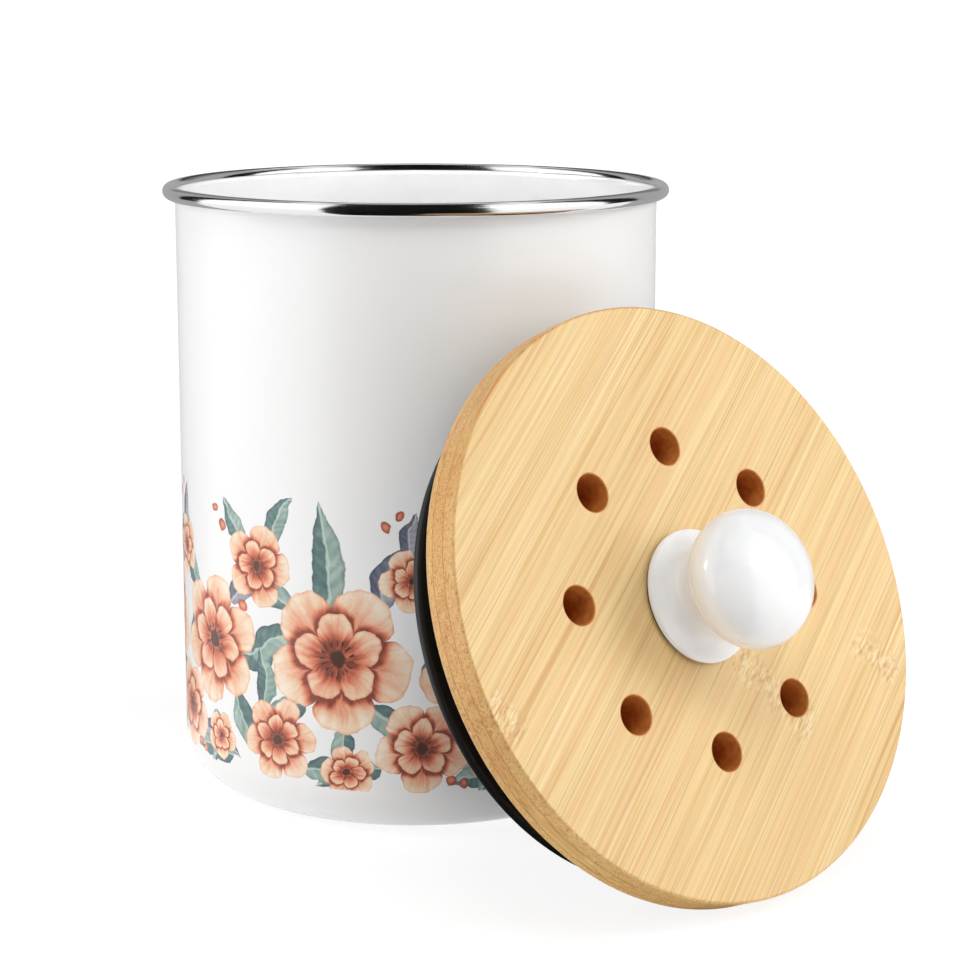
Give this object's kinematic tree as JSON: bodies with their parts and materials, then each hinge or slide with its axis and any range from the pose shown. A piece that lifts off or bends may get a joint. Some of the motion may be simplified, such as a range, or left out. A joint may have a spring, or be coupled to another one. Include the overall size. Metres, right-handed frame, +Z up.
{
  "type": "compost caddy",
  "caption": "Cylindrical enamelled kitchen canister with a rolled metal rim; its round vented wooden lid, with a knob, a seal and a filter holder, leans against the wall.",
  "frame": {"origin": "centre of the canister's flat foot, on the surface that it stands on", "axes": "+Z up along the canister's axis; the lid leans on the wall's front right, between +X and -Y"},
  "size_m": [0.2409, 0.265, 0.2028],
  "materials": {
    "white_enamel": "gloss vitreous enamel with a transfer print on the lower wall",
    "polished_steel": "polished stainless steel",
    "bamboo_face": "satin oiled bamboo",
    "bamboo_core": "satin oiled bamboo, end grain",
    "bamboo_back": "satin oiled bamboo",
    "white_glaze": "gloss white glaze",
    "black_rubber": "matte black rubber",
    "brass": "machined brass",
    "zinc_plated_steel": "bright zinc plating",
    "black_plastic": "fine moulded texture, black",
    "grey_silicone": "smooth satin silicone, very dark grey",
    "charcoal_felt": "carbon loaded felt"
  },
  "bodies": {
    "canister": {"canister": "white_enamel", "rim_band": "polished_steel"},
    "lid": {"board_face_ply": "bamboo_face", "board_core_ply": "bamboo_core", "board_back_ply": "bamboo_back", "knob": "white_glaze", "knob_pad": "black_rubber", "knob_insert": "brass", "knob_screw": "zinc_plated_steel", "knob_washer": "zinc_plated_steel", "filter_housing": "black_plastic", "housing_screws": "zinc_plated_steel", "seal": "grey_silicone", "charcoal_filter": "charcoal_felt"},
    "filter_cover": {"filter_cover": "black_plastic"}
  },
  "joints": [
    {"name": "lid_lift_off", "type": "slide", "parent": "canister", "child": "lid", "axis": [0.6155, -0.6788, 0.4003], "range_m": [0, 0.25]},
    {"name": "filter_cover_turn", "type": "hinge", "parent": "lid", "child": "filter_cover", "pos_m": [0.07661, -0.10468, 0.08274], "axis": [-0.6155, 0.6788, -0.4003], "range_deg": [0, 25]}
  ]
}
